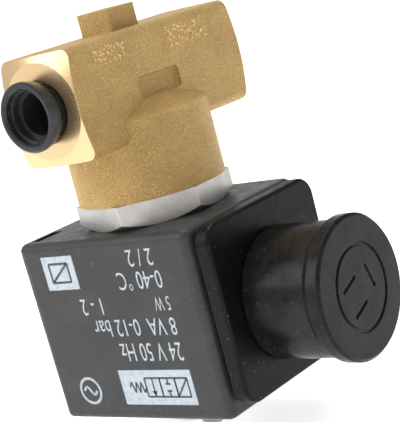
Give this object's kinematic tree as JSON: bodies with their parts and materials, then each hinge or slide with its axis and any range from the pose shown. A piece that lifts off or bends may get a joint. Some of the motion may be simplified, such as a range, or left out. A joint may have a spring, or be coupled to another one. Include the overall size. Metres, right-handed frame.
{
  "type": "solenoid valve",
  "caption": "Direct-acting two-way solenoid valve: forged brass body with threaded ports, hexagonal tube base and an encapsulated coil with a capped terminal flange.",
  "frame": {"origin": "centre of the open outlet port's mouth, on the port face", "axes": "+Y out of the outlet port, +Z along the armature tube from the coil to the brass body, +X towards the coil's terminal side"},
  "size_m": [0.0558, 0.0455, 0.0721],
  "materials": {
    "forged_brass": "matte forged with turned port faces",
    "nickel": "satin nickel plate",
    "stainless": "fine turned",
    "core_steel": "turned",
    "copper": "bare copper",
    "seal_rubber": "matte",
    "coil_plastic": "glass-filled moulded",
    "cap_plastic": "semi-gloss soft moulding",
    "plug_plastic": "semi-gloss",
    "yoke_steel": "zinc plated sheet",
    "bobbin_plastic": "natural nylon",
    "winding_copper": "enamelled wire",
    "tape": "polyester tape",
    "terminal_tin": "tinned",
    "insert_brass": "turned",
    "zinc_steel": "zinc plated",
    "spring_steel": "bright wire"
  },
  "bodies": {
    "root": {"valve_body": "forged_brass", "tube_base": "nickel", "base_oring": "seal_rubber", "armature_tube": "stainless", "fixed_core": "core_steel", "shading_ring": "copper", "return_spring": "spring_steel"},
    "plunger": {"plunger": "core_steel", "plunger_seal": "seal_rubber"},
    "coil": {"coil_housing": "coil_plastic", "coil_cover": "coil_plastic", "upper_tube_oring": "seal_rubber", "lower_tube_oring": "seal_rubber", "yoke_frame": "yoke_steel", "yoke_plate": "yoke_steel", "flux_sleeves": "yoke_steel", "bobbin": "bobbin_plastic", "winding": "winding_copper", "winding_wrap": "tape", "power_terminals": "terminal_tin", "ground_terminal": "terminal_tin", "screw_insert": "insert_brass"},
    "terminal_cap": {"terminal_cap": "cap_plastic"},
    "port_plug": {"port_plug": "plug_plastic"},
    "coil_nut": {"coil_nut": "zinc_steel", "lock_washer": "zinc_steel"}
  },
  "joints": [
    {"name": "plunger_lift", "type": "slide", "parent": "root", "child": "plunger", "axis": [0, 0, -1], "range_m": [0, 0.0015], "stiffness_N_per_m": 500, "springref_m": -0.004, "deforming": ["return_spring"]},
    {"name": "coil_swivel", "type": "hinge", "parent": "root", "child": "coil", "pos_m": [0, -0.0222, -0.037], "axis": [0, 0, 1], "continuous": true},
    {"name": "cap_pull", "type": "slide", "parent": "coil", "child": "terminal_cap", "axis": [1, 0, 0], "range_m": [0, 0.02]},
    {"name": "plug_pull", "type": "slide", "parent": "root", "child": "port_plug", "axis": [0, -1, 0], "range_m": [0, 0.012]},
    {"name": "nut_turn", "type": "hinge", "parent": "root", "child": "coil_nut", "pos_m": [0, -0.0222, -0.0544], "axis": [0, 0, 1], "continuous": true}
  ]
}
